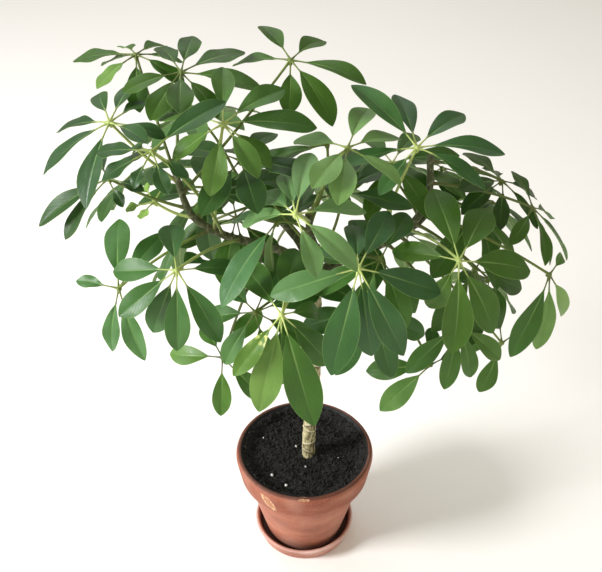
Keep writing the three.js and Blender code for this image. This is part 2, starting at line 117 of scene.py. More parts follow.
# A closed body through rings of points; finish is one number, or one for each side of the ring
def addLoft(skin, rings, maps=0, finish=0):
    count, sides = rings.shape[:2]
    maps = np.broadcast_to(maps, (count, sides, 4))
    sideFinish = [finish] * sides if isinstance(finish, int) else finish
    a = np.arange(count * sides).reshape(count, sides)
    b = np.roll(a, -1, axis=1)
    quads = np.stack([a[:-1], b[:-1], b[1:], a[1:]], axis=2).reshape(-1, 4)
    last = count * sides
    faces = quads.tolist() + [(last, (j + 1) % sides, j) for j in range(sides)]
    top = (count - 1) * sides
    faces += [(last + 1, top + j, top + (j + 1) % sides) for j in range(sides)]
    points = np.vstack([rings.reshape(-1, 3), rings[0].mean(0), rings[-1].mean(0)])
    allMaps = np.vstack([maps.reshape(-1, 4), maps[0].mean(0), maps[-1].mean(0)])
    addShape(skin, points, allMaps, faces, sideFinish * (count + 1))


def makePiece(name, skin, materials, replaced, sharpAngle=50):
    mesh = bpy.data.meshes.new(name)
    points = np.vstack(skin["points"]) * mm
    mesh.from_pydata(points.tolist(), [], skin["faces"])
    mesh.polygons.foreach_set("material_index", skin["finish"])
    mesh.polygons.foreach_set("use_smooth", [True] * len(mesh.polygons))
    surfaceMap = mesh.attributes.new("surfaceMap", "FLOAT_COLOR", "POINT")
    surfaceMap.data.foreach_set("color", np.vstack(skin["maps"]).astype(np.float32).ravel())
    mesh.set_sharp_from_angle(angle=math.radians(sharpAngle))
    for material in materials:
        mesh.materials.append(material)
    piece = addObject(name, mesh)
    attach(piece, "root")
    if replaced:
        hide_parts(*replaced)


def wave(x):
    return math.sin(x * 12.9898)  # a fixed, uneven -1 to 1 for natural variation


def anglesRound(sides):
    return np.arange(sides) * 2 * math.pi / sides


# Uneven relief from -1 to 1, from crossing waves about size apart
def relief(points, size, seed):
    waves = 7
    draw = np.random.default_rng(seed)
    total = np.zeros(len(points))
    for _ in range(waves):
        way = draw.normal(size=3)
        way *= 2 * math.pi / (np.linalg.norm(way) * size * draw.uniform(0.6, 1.7))
        total += np.sin(points @ way + draw.uniform(0, 2 * math.pi))
    return total / math.sqrt(waves)


def smoothStep(low, high, x):
    t = np.clip((x - low) / (high - low), 0, 1)
    return t * t * (3 - 2 * t)


# Stems: the same curves as the solids, with the radius at each end
stems = {
    "trunk": {"points": [(3, 0, 62), (5, 0, 150), (9, 0, 215), (8, 3, 334)], "radii": (6.4, 4.4)},
    "front": {"points": [(8, 3, 318), (8, -12, 340), (4, -24, 360), (2, -28, 380)], "radii": (3.6, 2.4)},
    "left": {
        "points": [(8, 3, 314), (-28, 8, 330), (-64, 6, 342), (-88, 4, 362), (-98, 8, 396)],
        "radii": (4, 2.4),
    },
    "right": {
        "points": [(8, 3, 308), (44, 14, 320), (80, 24, 334), (97, 28, 360), (97, 30, 400)],
        "radii": (4.2, 2.6),
    },
    "back": {"points": [(8, 3, 304), (-6, 36, 318), (-30, 64, 332), (-62, 86, 356)], "radii": (3.6, 2.2)},
    "rear": {"points": [(76, 24, 330), (98, 52, 328), (112, 78, 334)], "radii": (3, 2.2)},
}


# A centripetal Catmull-Rom curve as a dense line of points with the share of its length at each
def stemLine(points):
    steps = 120
    knots = [np.array(p, float) for p in points]
    knots = [2 * knots[0] - knots[1], *knots, 2 * knots[-1] - knots[-2]]
    line = []
    for i in range(1, len(knots) - 2):
        p0, p1, p2, p3 = knots[i - 1:i + 3]
        gaps = [math.sqrt(np.linalg.norm(b - a)) for a, b in ((p0, p1), (p1, p2), (p2, p3))]
        leave = (p1 - p0) / gaps[0] - (p2 - p0) / (gaps[0] + gaps[1]) + (p2 - p1) / gaps[1]
        arrive = (p2 - p1) / gaps[1] - (p3 - p1) / (gaps[1] + gaps[2]) + (p3 - p2) / gaps[2]
        leave, arrive = leave * gaps[1], arrive * gaps[1]
        for t in np.linspace(0, 1, steps, endpoint=False):
            cubic = 2 * p1 - 2 * p2 + leave + arrive
            square = 3 * p2 - 3 * p1 - 2 * leave - arrive
            line.append(p1 + t * (leave + t * (square + t * cubic)))
    line.append(knots[-2])
    return byLength(np.array(line))


def byLength(line):
    run = np.concatenate([[0], np.cumsum(np.linalg.norm(np.diff(line, axis=0), axis=1))])
    return {"line": line, "share": run / run[-1], "length": run[-1]}


def pointAt(curve, share):
    return np.stack([np.interp(share, curve["share"], curve["line"][:, k]) for k in range(3)], axis=-1)


def tangentAt(curve, share):
    step = 0.0015
    ahead = pointAt(curve, np.minimum(share + step, 1)) - pointAt(curve, np.maximum(share - step, 0))
    return ahead / np.linalg.norm(ahead, axis=-1, keepdims=True)


# Round sections along a curve; radius is a number for each share and side
def tubeRings(curve, shares, radius, sides):
    centre, along = pointAt(curve, shares), tangentAt(curve, shares)
    u = np.cross(np.array([0.3, -0.9, 0.2]), along)
    u /= np.linalg.norm(u, axis=1, keepdims=True)
    v = np.cross(along, u)
    turn = anglesRound(sides)
    ways = u[:, None] * np.cos(turn)[None, :, None] + v[:, None] * np.sin(turn)[None, :, None]
    return centre[:, None] + ways * np.broadcast_to(radius, (len(shares), sides))[:, :, None]


stemCurves = {name: stemLine(stem["points"]) for name, stem in stems.items()}


# What the shader nodes are most often set to
mixColour = {"data_type": "RGBA"}
fade = {"interpolation_type": "SMOOTHSTEP"}
plus, times, timesPlus = ({"operation": way} for way in ("ADD", "MULTIPLY", "MULTIPLY_ADD"))
paintedMap = {"attribute_name": "surfaceMap"}


# Living leaf: a thick waxy cuticle over dark green. The wax gives a broad, cool sheen, the midrib
# is a fine pale line that fades towards the tip, and the margin is thin and lighter: partly the
# leaf's own paler edge, partly a painted highlight along it.
def waxyLeafUpper(add, place, fleckShare):
    look = {
        "warm": [(0.0, "#263A13"), (0.5, "#496D25"), (1.0, "#8FB356")],
        "cool": [(0.0, "#1F3B22"), (0.5, "#3E6A3B"), (1.0, "#80AB74")],
        "vein": "#6E9C58", "rib": "#A6C777", "margin": "#9CBC6A", "fleck": "#D8DC7C",
        "behind": "#8FC63F", "veins": 11, "lean": 3.1, "roughness": (0.31, 0.46), "through": 0.22,
    }
    surface = add("Attribute", paintedMap)
    across, along, tone = add("SeparateColor", {}, surface).outputs
    cool = surface.outputs["Alpha"]
    patches = add("TexNoise", {"Scale": 60, "Detail": 3}, place)  # clouds about 16 mm wide
    pores = add("TexNoise", {"Scale": 900}, place)  # pores, drawn coarse at about 1 mm
    cloud = add("Math", timesPlus, patches, 0.24, -0.12)
    clouded = add("Math", plus, tone, cloud)
    warmGreen = add("ValToRGB", {"stops": look["warm"]}, clouded)
    coolGreen = add("ValToRGB", {"stops": look["cool"]}, clouded)
    colour = add("Mix", mixColour, cool, warmGreen, coolGreen)
    # side veins leave the rib at a slant, about 5 mm apart
    slant = add("Math", times, across, -look["lean"])
    veinRun = add("Math", timesPlus, along, look["veins"], slant)
    veinWave = add("Math", {"operation": "PINGPONG"}, veinRun, 0.5)
    veinLine = add("MapRange", fade, veinWave, 0, 0.14, 1, 0)
    veinShare = add("Math", times, veinLine, 0.08)
    ribEdge = add("MapRange", fade, along, 0, 0.5, 0.2, 0.055)
    ribLine = add("MapRange", fade, across, 0, ribEdge, 1, 0)
    ribFade = add("MapRange", fade, along, 0.1, 1, 0.5, 0.06)
    ribShare = add("Math", times, ribLine, ribFade)
    # the lighter margin is partly a painted highlight along the edge, over the leaf's own paler rim
    marginShare = add("MapRange", fade, across, 0.955, 1, 0, 0.5)
    layers = [(veinShare, "vein"), (ribShare, "rib"), (marginShare, "margin")]
    if fleckShare:
        blots = add("TexNoise", {"Scale": 190, "Detail": 1}, place)  # 3 to 5 mm across
        spots = add("MapRange", fade, blots, 0.55, 0.6, 0, fleckShare)
        reach = add("MapRange", fade, along, 0.12, 0.5, 1, 0)
        layers.append((add("Math", times, spots, reach), "fleck"))
    for share, over in layers:
        colour = add("Mix", mixColour, share, colour, look[over])
    gloss = add("MapRange", fade, patches, 0.3, 0.7, *look["roughness"])
    puckers = add("TexNoise", {"Scale": 150}, place)  # the blade puckers, 7 mm across
    quilt = add("Math", times, puckers, -2.6)
    sunk = add("Math", timesPlus, veinLine, 0.5, quilt)
    height = add("Math", timesPlus, pores, 0.15, sunk)
    bump = add("Bump", {"invert": True, "Strength": 0.4, "Distance": 0.0004, "Height": height})
    wax = add("MapRange", fade, cool, 0.2, 0.9, 0.03, 0.24)
    skin = add("BsdfPrincipled", {
        "Base Color": colour, "Roughness": gloss, "IOR": 1.45, "Specular IOR Level": 0.28,
        "Coat Weight": wax, "Coat Roughness": 0.4, "Normal": bump,
    })
    glow = add("BsdfTranslucent", {"Color": look["behind"]})  # light through the blade
    return add("MixShader", {}, look["through"], skin, glow)


# The underside has no wax: a matt, paler and yellower green with a raised rib
def mattLeafUnder(add, place):
    look = {"deep": "#5A7C42", "pale": "#8FA96C", "rib": "#B4C682", "behind": "#8FC63F", "through": 0.22}
    painted = add("SeparateColor", {}, add("Attribute", paintedMap)).outputs
    patches = add("TexNoise", {"Scale": 80, "Detail": 4}, place)  # clouds about 12 mm wide
    ownTone = add("Math", times, painted["Blue"], 0.6)
    cloud = add("Math", times, patches, 0.4)
    tone = add("Math", plus, ownTone, cloud)
    green = add("Mix", mixColour, tone, look["deep"], look["pale"])
    ribShare = add("MapRange", fade, painted["Red"], 0.03, 0.13, 0.7, 0)
    ribbed = add("Mix", mixColour, ribShare, green, look["rib"])
    bump = add("Bump", {"Strength": 0.2, "Distance": 0.0003, "Height": patches})
    skin = add("BsdfPrincipled", {"Base Color": ribbed, "Roughness": 0.62, "IOR": 1.45, "Normal": bump})
    glow = add("BsdfTranslucent", {"Color": look["behind"]})
    return add("MixShader", {}, look["through"], skin, glow)


# Green stalk: smooth and juicy, brown at its foot, from dark olive to pale yellow-green
def greenStalk(add, place):
    look = {"green": [(0.0, "#3C4020"), (0.5, "#66792F"), (1.0, "#B7C873")], "foot": "#5B5030"}
    painted = add("SeparateColor", {}, add("Attribute", paintedMap)).outputs
    streaks = add("TexNoise", {"Scale": 300, "Detail": 3}, place)  # streaks 3 mm long
    uneven = add("Math", timesPlus, streaks, 0.3, -0.15)
    # how pale a stalk is is partly painted light: stalks of well-lit leaves are paler, those of shaded
    # leaves darker
    paleness = add("Math", plus, painted["Blue"], uneven)
    green = add("ValToRGB", {"stops": look["green"]}, paleness)
    footShare = add("MapRange", fade, painted["Green"], 0, 0.14, 0.75, 0)
    colour = add("Mix", mixColour, footShare, green, look["foot"])
    bump = add("Bump", {"Strength": 0.25, "Distance": 0.0003, "Height": streaks})
    return add("BsdfPrincipled", {"Base Color": colour, "Roughness": 0.45, "IOR": 1.45, "Normal": bump})


leafMaterials = [
    makeMaterial("cuticleLeafUpper", waxyLeafUpper, 0), makeMaterial("mattLeafUnder", mattLeafUnder),
    makeMaterial("greenStalk", greenStalk), makeMaterial("fleckedLeafUpper", waxyLeafUpper, 0.85),
]
print("leaf materials made")


# Leaves on each stem: how far up the stem the petiole grows, the hub, the tilt and the way it
# tilts, the droop of the leaflets from the leaf's plane at the hub, their length, and the
# compass directions they spread in. A tuple adds the leaflet's share of the length and how far
# it droops beyond the others.
def fan(count, first):
    return [first + i * 360 / count for i in range(count)]


leafRows = {
    "front": [
        (0.2, (-17, -85, 332), 35, 270, 15, 70,
         [(228, 0.82, -4), (254, 1.1, 5), (268, 1, 35), (288, 1.15), (328, 0.9, 25), (122, 1.05, 5),
          (76, 1.05), (30, 0.8, 25)]),
        (0.92, (-7, -60, 399), 18, 270, 5, 64,
         [(98, 1, -5), (80, 1.05, -15), 24, (318, 0.95, -5), (290, 0.75, -5), (150, 0.9, 20),
          (122, 0.9, 5)]),
        (0.75, (-21, -30, 375), 20, 250, 5, 72,
         [233, (140, 0.85, 20), (162, 0.9, 25), (70, 1.05), (100, 0.9, 5)]),
        (0.45, (36, -80, 368), 38, 270, 12, 72,
         [(194, 0.9, -10), (255, 1.05), (300, 0.93), (284, 1, 25), (355, 1, 10), (65, 0.95, 5),
          (90, 0.95), (135, 0.8, 25)]),
        (0.98, (30, -10, 425), 8, 270, 5, 66,
         [(72, 1, -20), (38, 0.9, -8), (330, 0.75), (261, 0.86, -8), (242, 0.85), (140, 0.8)]),
        (0.87, (16, 15, 416), 12, 220, 5, 68, [(190, 1.15), (160, 0.9, 5), (110, 0.8, 5)]),
    ],
    "right": [
        (0.55, (110, -55, 358), 40, 270, 12, 70,
         [(158, 0.88, 5), (237, 0.85, 5), (268, 1.05), (305, 1, 5), (2, 1, 5), (60, 0.95, 5), 100]),
        (0.35, (82, 5, 418), 8, 270, 5, 66,
         [(102, 0.9, -28), (50, 1, -18), (10, 1.12, -10), (342, 0.95, -3), (185, 0.95, -8),
          (135, 1.15, -25), (226, 0.75, 5)]),
        (0.96, (161, 50, 367), 20, 330, 5, 56,
         [112, (85, 0.9), (207, 1, -5), (236, 0.9, -5), (270, 0.8), (25, 1, 5), (330, 0.9, 5),
          (150, 0.8)]),
        (0.84, (182, 25, 356), 28, 350, 8, 62,
         [(355, 1.05), (285, 0.9), (245, 0.8), (320, 0.8, 5), (40, 0.9, 10), (100, 0.8)]),
        (0.68, (190, -20, 322), 48, 290, 5, 68,
         [(258, 1.05, 5), (288, 1.05, 5), (330, 0.9, 20), (50, 0.5, 10)]),
        (0.3, (106, -20, 230), 40, 280, 10, 60,
         [(185, 0.92, 5), (225, 0.95, 5), (80, 0.7, 10), (30, 0.6, 10)]),
        (0.5, (174, 15, 225), 55, 260, 10, 60, [245, (180, 0.8, 10), 90, (30, 0.8, 10)]),
        (0.44, (69, 40, 388), 15, 250, 0, 62, fan(8, 20)),
        (0.6, (142, 20, 300), 50, 300, 5, 62, [250, 285, 320, 0, 60]),
        (0.74, (138, 30, 350), 30, 330, 5, 64, [342, 30, 75, 120, 200, 250, 300]),
        (0.42, (126, -12, 268), 50, 285, 12, 60, [232, 262, 296, 332, 178]),
    ],
    "left": [
        (0.95, (-140, 0, 440), 20, 230, 5, 62,
         [(158, 0.92, -5), (198, 1.05, -3), (246, 1.1, 5), (345, 0.72), (318, 0.7, -5), (70, 0.78, -20),
          (102, 0.7, -20), (45, 0.65, -12)]),
        (0.9, (-130, 70, 465), 6, 270, 4, 54,
         [(172, 0.95, -4), (150, 0.75), (228, 0.75, 5), (278, 0.9, 5), (330, 0.85), (35, 0.8, 5),
          (70, 0.9, -5), (115, 0.9, -5)]),
        (0.99, (-92, 40, 462), 10, 290, 0, 62,
         [(352, 1.1, -3), (312, 0.8, 5), (207, 0.75, -5), (242, 0.8, 5), (275, 0.8, 5), (38, 0.9, -10),
          (85, 0.75, -15), (118, 0.75, -12)]),
        (0.6, (-58, -10, 443), 18, 290, 5, 68,
         [(14, 1.05, -12), (45, 0.9, -18), (95, 0.85, -18), (306, 0.76, -8), (205, 0.7, 10),
          (262, 0.8, 20), (158, 1.05, -2), (335, 0.7, 10)]),
        (0.55, (-105, -35, 434), 18, 270, 8, 56,
         [(172, 0.72, -8), (205, 0.68), (245, 0.5, 5), (292, 0.62, -5), (330, 0.55), (38, 1.15, -15),
          (92, 0.7), (135, 0.75, -5)]),
        (0.8, (-146, -5, 398), 30, 220, 5, 64,
         [(194, 1.1, -15), (208, 0.95, -6), (290, 0.45), (328, 0.5), (60, 0.8, 10), 115]),
        (0.45, (-92, -60, 353), 35, 275, 10, 66,
         [(104, 1.1), (66, 1, 5), (15, 0.8), 306, (270, 1, 10), (172, 0.9), (214, 0.88),
          (240, 0.9, 25)]),
        (0.62, (-144, -30, 316), 40, 260, 15, 60,
         [(98, 1.15, -5), (60, 1, -5), (165, 0.6, -20), (252, 0.88, 5), 285]),
        (0.3, (-69, -20, 238), 40, 265, 8, 58, [170, (265, 0.9), 55, (120, 0.8, 10), (315, 0.9, 10)]),
        (0.88, (-11, 55, 466), 12, 290, 5, 58,
         [(160, 0.9, -12), (120, 0.9, -25), (60, 0.95, -15), (305, 1.15), (342, 1.1, -5), (270, 0.8)]),
        (0.7, (-78, 18, 372), 20, 265, 5, 66,
         [95, (25, 1.1), (345, 1, 5), (165, 1, 5), (270, 1, 20), (205, 1, 5), (135, 1, 5),
          (300, 1, 10)]),
        (0.74, (-116, 6, 372), 30, 200, -25, 24, fan(5, 40)),
    ],
    "back": [
        (0.96, (-100, 118, 398), 22, 130, 6, 62, fan(8, 15)),
        (0.9, (-150, 92, 352), 34, 150, 8, 62, fan(7, 40)),
        (0.8, (-42, 100, 345), 28, 100, 6, 64, fan(7, 5)),
        (0.62, (10, 112, 335), 30, 85, 8, 64, fan(8, 30)),
        (0.7, (-112, 86, 290), 48, 150, 10, 58, fan(6, 10)),
        (0.45, (-30, 100, 262), 52, 110, 12, 58, fan(6, 35)),
    ],
    "rear": [
        (0.55, (66, 112, 355), 24, 95, 4, 62, fan(7, 50)),
        (0.84, (122, 108, 350), 26, 70, 5, 62, fan(8, 10)),
        (0.97, (168, 96, 322), 38, 45, 8, 60, fan(7, 30)),
        (0.75, (98, 118, 276), 48, 80, 10, 60, fan(6, 20)),
        (0.45, (168, 66, 258), 54, 30, 12, 58, fan(6, 45)),
    ],
    "trunk": [
        (0.9, (-56, 30, 344), 24, 255, 6, 58, fan(8, 10)),
        (0.96, (55, -44, 352), 24, 270, 6, 58, fan(8, 20)),
        (0.94, (25, 2, 382), 14, 265, 6, 58, fan(8, 30)),
        (0.99, (-48, 0, 410), 14, 260, 6, 54, fan(8, 15)),
        (0.88, (-38, -46, 305), 42, 255, 10, 56, fan(7, 20)),
        (0.85, (52, -38, 300), 42, 285, 10, 56, fan(7, 40)),
    ],
}

# How fresh a leaf's green is, from deep (0) to yellow-green (1), how blue it is, how pale its stalks
# are, and half its leaflets' width as a share of their length; the rest vary about the middle. The
# first three are partly the leaf's own colour and partly painted light, set leaf by leaf: lighter and
# bluer where a leaf shows sheen or catches more light, darker where it lies in shade.
leafLooks = {
    "front": [
        (0.62, 0.2, 1.0, 0.158), (0.76, 0.85, 0.9, 0.15), (0.66, 0.9, 0.5, 0.15),
        (0.46, 0.85, 0.95, 0.142), (0.74, 0.6, 0.55, 0.165), (0.66, 0.3, 0.5, 0.15),
    ],
    "right": [
        (0.42, 0.0, 0.8, 0.16), (0.38, 0.8, 0.85, 0.155), (0.2, 0.0, 0.3, 0.15),
        (0.24, 0.0, 0.3, 0.125), (0.5, 0.2, 0.35, 0.145), (0.5, 0.35, 0.4, 0.155),
        (0.34, 0.2, 0.5, 0.15), (0.42, 0.1, 0.9, 0.15), (0.42, 0.1, 0.4, 0.16), (0.45, 0.1, 0.4, 0.165),
        (0.5, 0.2, 0.4, 0.16),
    ],
    "left": [
        (0.1, 0.75, 0.75, 0.162), (0.36, 0.05, 0.35, 0.172), (0.34, 0.1, 0.35, 0.178),
        (0.48, 0.25, 0.85, 0.172), (0.26, 0.6, 0.6, 0.165), (0.02, 0.7, 0.4, 0.138),
        (0.38, 0.75, 0.8, 0.155), (0.64, 0.6, 0.5, 0.145), (0.5, 0.3, 0.2, 0.15),
        (0.3, 0.0, 0.4, 0.185), (0.34, 0.3, 0.5, 0.178), (1.0, 0.0, 1.0, 0.19),
    ],
}
# Leaflets that differ from the rest of their leaf: how much lighter their green is (below zero,
# darker), partly their own younger green and partly painted light on leaflets that show sheen or
# catch more light, and their share of its width
leafletLooks = {
    ("front_01", 0): (-0.05, 0.74), ("front_01", 1): (0.16, 0.85), ("front_01", 2): (-0.1, 0.8),
    ("front_01", 3): (-0.05, 0.92), ("left_02", 2): (0.5, 1.0), ("right_05", 1): (0.3, 1.0),
    ("right_05", 2): (0.45, 1.0), ("right_06", 1): (0.2, 1.0), ("front_04", 0): (0.14, 1.0),
}
fleckedLeaflets = {("front_01", 0)}  # one leaflet is flecked with yellow

petioleSettings = {
    "radii": (1.35, 0.95), "rootDepth": 1.7, "sides": 10, "rings": 22,
    "footFlare": (0.7, 3.5), "hubFlare": (0.35, 4),  # how much thicker, and how far along
    "solidCorners": 4, "solidReach": 2,  # how many corners of the solid, within this reach
    "bends": [(0, 0, 8), (10, 0, 8), (-10, 0, 8), (0, 10, 8), (0, -10, 8), (0, 0, 20), (0, 0, -6),
              (16, 16, 8), (-16, 16, 8), (16, -16, 8), (-16, -16, 8), (0, 0, -16), (0, 0, 32)],
}
leafletSettings = {
    "stalk": 12, "stalkHalf": 0.6, "curl": 28, "fold": 0.16, "twist": 11, "hook": 1.6,
    "rise": 1.15, "fall": 0.86,  # how the width grows from the stalk and shrinks to the tip
    # how far leaflets differ: shares of the length and width, degrees, slopes and colours
    "lengthRange": 0.05, "widthRange": 0.1, "curlRange": 6, "droopRange": 4, "foldRange": 0.09,
    "toneRange": 0.12, "coolRange": 0.15, "tipRoom": 0.1,
    "bends": [(0, 0), (6, 0), (-6, 0), (0, 6), (0, -6), (12, 0), (-12, 0), (8, 8), (8, -8), (-8, 8),
              (-8, -8), (18, 0), (0, 14), (0, -14), (-18, 0), (16, 12), (16, -12), (-14, 12),
              (-14, -12), (26, 0), (26, 12), (26, -12), (34, 0), (0, 22), (0, -22)],
    "stations": 22, "thickness": 0.5, "edgeThickness": 0.22, "groove": 0.45, "grooveWidth": 1.0,
    "rib": 0.6, "ribWidth": 0.8, "edgeWave": 1.05, "ripples": 1.3, "ripplesRange": 0.5, "sickle": 1.0,
    # along the leaflet's own stalk
    "stalkRun": [0.5, 2, 3.5, 6, 9, 11.5, 13.5, 16], "stalkSides": 8, "stalkDrop": 0.35,
    "stalkRadii": [1.0, 1.05, 0.85, 0.62, 0.56, 0.6, 0.55, 0.25],
}
knuckleSettings = {
    "heights": [-4.6, -3.4, -2.0, -0.6, 0.6, 1.3], "radii": [1.0, 1.5, 2.0, 2.2, 1.7, 0.7],
    "sides": 14, "lumps": 5, "lumpShare": 0.07,
}
upperColumns = [-1, -0.84, -0.62, -0.38, -0.16, 0, 0.16, 0.38, 0.62, 0.84, 1]
underColumns = [1, 0.62, 0.2, 0, -0.2, -0.62, -1]


# Along a leaflet, s from the hub: the rib's place, the way up from the blade and the way across
def leafletFrames(leaf, leaflet, s):
    way = math.radians(leaflet["direction"])
    out = leaf["turn"] @ np.array([math.cos(way), math.sin(way), 0])
    up = leaf["turn"] @ np.array([0, 0, 1.0])
    bend, droop = leaflet["curl"] / leaflet["length"], leaflet["droop"]
    angle = (droop + bend * np.asarray(s, float))[:, None]
    centre = (leaf["hub"] + (np.sin(angle) - math.sin(droop)) / bend * out
              + (np.cos(angle) - math.cos(droop)) / bend * up)
    along = np.cos(angle) * out - np.sin(angle) * up
    normal = np.sin(angle) * out + np.cos(angle) * up
    return centre, normal, np.cross(along, normal)


# Bends the leaflet as its solid in the frame is bent: its tip is one of that solid's corners
def matchLeaflet(leaf, corners, index, direction, lengthShare=1, ownDroop=0):
    look = leafletSettings
    seed = leaf["seed"] + index
    length = leaf["size"] * lengthShare * (1 + look["lengthRange"] * wave(seed))
    curl = math.radians(look["curl"] + look["curlRange"] * wave(seed + 0.37))
    droop = leaf["droop"] + ownDroop + look["droopRange"] * wave(seed + 0.71)
    for down, aside in look["bends"]:
        leaflet = {"direction": direction + aside, "droop": math.radians(droop + down),
                   "curl": curl, "length": length, "seed": seed, "index": index}
        tip = leafletFrames(leaf, leaflet, [length])[0][0]
        if np.linalg.norm(corners - tip, axis=1).min() < look["tipRoom"]:
            return leaflet
    return None


# Bows the petiole as its solid is bowed: some of the solid's corners lie round its middle
def matchPetiole(leaf, corners):
    look = petioleSettings
    stem = stemCurves[leaf["stem"]]
    axis, along = pointAt(stem, leaf["share"]), tangentAt(stem, leaf["share"])
    thick = np.interp(leaf["share"], (0, 1), stems[leaf["stem"]]["radii"])
    for bulge in look["bends"]:
        via = (axis + leaf["hub"]) / 2 + np.array(bulge)
        out = via - axis
        out -= along * (out @ along)
        out /= np.linalg.norm(out)
        start = axis + out * (thick - look["rootDepth"])
        t = np.linspace(0, 1, 80)[:, None]
        curve = byLength((1 - t) ** 2 * start + 2 * t * (1 - t) * via + t * t * leaf["hub"])
        away = np.linalg.norm(corners - pointAt(curve, 0.5), axis=1)
        if (away < look["solidReach"]).sum() >= look["solidCorners"]:
            return curve
    raise ValueError(leaf["key"] + " has no matching petiole")


def bladeHalf(t):
    rise, fall = leafletSettings["rise"], leafletSettings["fall"]
    widest = rise / (rise + fall)
    return t ** rise * (1 - t) ** fall / (widest ** rise * (1 - widest) ** fall)


def addBlade(skin, leaf, leaflet):
    look = leafletSettings
    t = (1 - np.cos(math.pi * np.linspace(0, 1, look["stations"]) ** 0.9)) / 2  # closer at the ends
    t[-1] = 0.998  # a tip that isn't quite a point
    length, stalk = leaflet["length"], look["stalk"]
    centre, normal, side = leafletFrames(leaf, leaflet, stalk + t * (length - stalk))
    seed = leaflet["seed"]
    fresherAndLit, widthShare = leafletLooks.get((leaf["key"], leaflet["index"]), (0, 1))
    width = length * leaf["look"][3] * widthShare * (1 + look["widthRange"] * wave(seed + 0.57))
    half = np.maximum(look["stalkHalf"] * (1 - t), width * bladeHalf(t))
    bulge = np.sin(math.pi * t)
    centre = centre + side * (look["sickle"] * wave(seed + 0.9) * bulge)[:, None]
    centre = centre - normal * (look["hook"] * wave(seed + 0.63) * (t ** 3 - t / 3))[:, None]
    turn = np.radians(look["twist"] * wave(seed + 0.13) * t)[:, None]
    side, normal = side * np.cos(turn) + normal * np.sin(turn), normal * np.cos(turn) - side * np.sin(turn)
    fold = look["fold"] + look["foldRange"] * wave(seed + 0.77)

    def height(u):
        crease = look["groove"] * np.exp(-((u * half / look["grooveWidth"]) ** 2)) * (1 - 0.6 * t)
        ripples = look["ripples"] + look["ripplesRange"] * wave(seed)
        ripple = np.sin(2 * math.pi * ripples * t + 2 * seed + (1.9 if u > 0 else 0))
        return (half * fold * abs(u) - crease * (half > 1.5)
                + look["edgeWave"] * u * u * ripple * bulge)

    def thickness(u):
        rib = look["rib"] * np.exp(-((u * half / look["ribWidth"]) ** 2)) * (1 - t)
        return look["edgeThickness"] + (look["thickness"] - look["edgeThickness"]) * (1 - abs(u)) + rib

    columns = []
    maps = []
    # the tone carries painted light as well as the leaf's own green: lighter where a leaf or leaflet shows
    # sheen or catches more light, darker where it lies in shade
    tone = leaf["look"][0] + fresherAndLit + look["toneRange"] * wave(seed + 0.23)
    cool = leaf["look"][1] + look["coolRange"] * wave(seed + 0.41)
    for level, us in (("upper", upperColumns), ("under", underColumns)):
        for u in us:
            lift = height(u) - (thickness(u) if level == "under" else 0)
            columns.append(centre + side * (half * u)[:, None] + normal * lift[:, None])
            maps.append(np.stack(np.broadcast_arrays(abs(u), t, tone, cool), axis=1))
    rings, ringMaps = np.stack(columns, axis=1), np.stack(maps, axis=1)
    upper = 3 if (leaf["key"], leaflet["index"]) in fleckedLeaflets else 0
    finish = [upper] * len(upperColumns) + [1] * (len(underColumns) - 1) + [upper]
    addLoft(skin, rings[:, ::-1], ringMaps[:, ::-1], finish[-2::-1] + finish[-1:])


def addLeafletStalk(skin, leaf, leaflet):
    look = leafletSettings
    run = np.minimum(look["stalkRun"], leaflet["length"] * 0.6)
    centre, normal, side = leafletFrames(leaf, leaflet, run)
    centre = centre - normal * look["stalkDrop"]
    turn = anglesRound(look["stalkSides"])
    ways = side[:, None] * np.cos(turn)[None, :, None] - normal[:, None] * np.sin(turn)[None, :, None]
    rings = centre[:, None] + ways * np.array(look["stalkRadii"])[:, None, None]
    addLoft(skin, rings, (0, 0.6, leaf["look"][2], 0), 2)


def addKnuckle(skin, leaf):
    look = knuckleSettings
    turn = anglesRound(look["sides"])
    lumps = 1 + look["lumpShare"] * np.sin(look["lumps"] * turn + leaf["seed"])
    flat = np.stack([np.cos(turn) * lumps, np.sin(turn) * lumps], axis=1)
    rings = np.zeros((len(look["heights"]), look["sides"], 3))
    rings[:, :, :2] = flat[None] * np.array(look["radii"])[:, None, None]
    rings[:, :, 2] = np.array(look["heights"])[:, None]
    addLoft(skin, rings @ leaf["turn"].T + leaf["hub"], (0, 0.8, leaf["look"][2], 0), 2)


def addPetiole(skin, curve, tone):
    look = petioleSettings
    shares = np.linspace(0, 1, look["rings"])
    away = shares * curve["length"]
    radius = np.interp(shares, (0, 1), look["radii"])
    for run, (thicker, reach) in ((away, look["footFlare"]), (curve["length"] - away, look["hubFlare"])):
        radius = radius + thicker * np.exp(-(run / reach) ** 2)
    rings = tubeRings(curve, shares, radius[:, None], look["sides"])
    maps = np.zeros((look["rings"], look["sides"], 4))
    maps[:, :, 1] = shares[:, None]
    maps[:, :, 2] = tone
    addLoft(skin, rings, maps, 2)


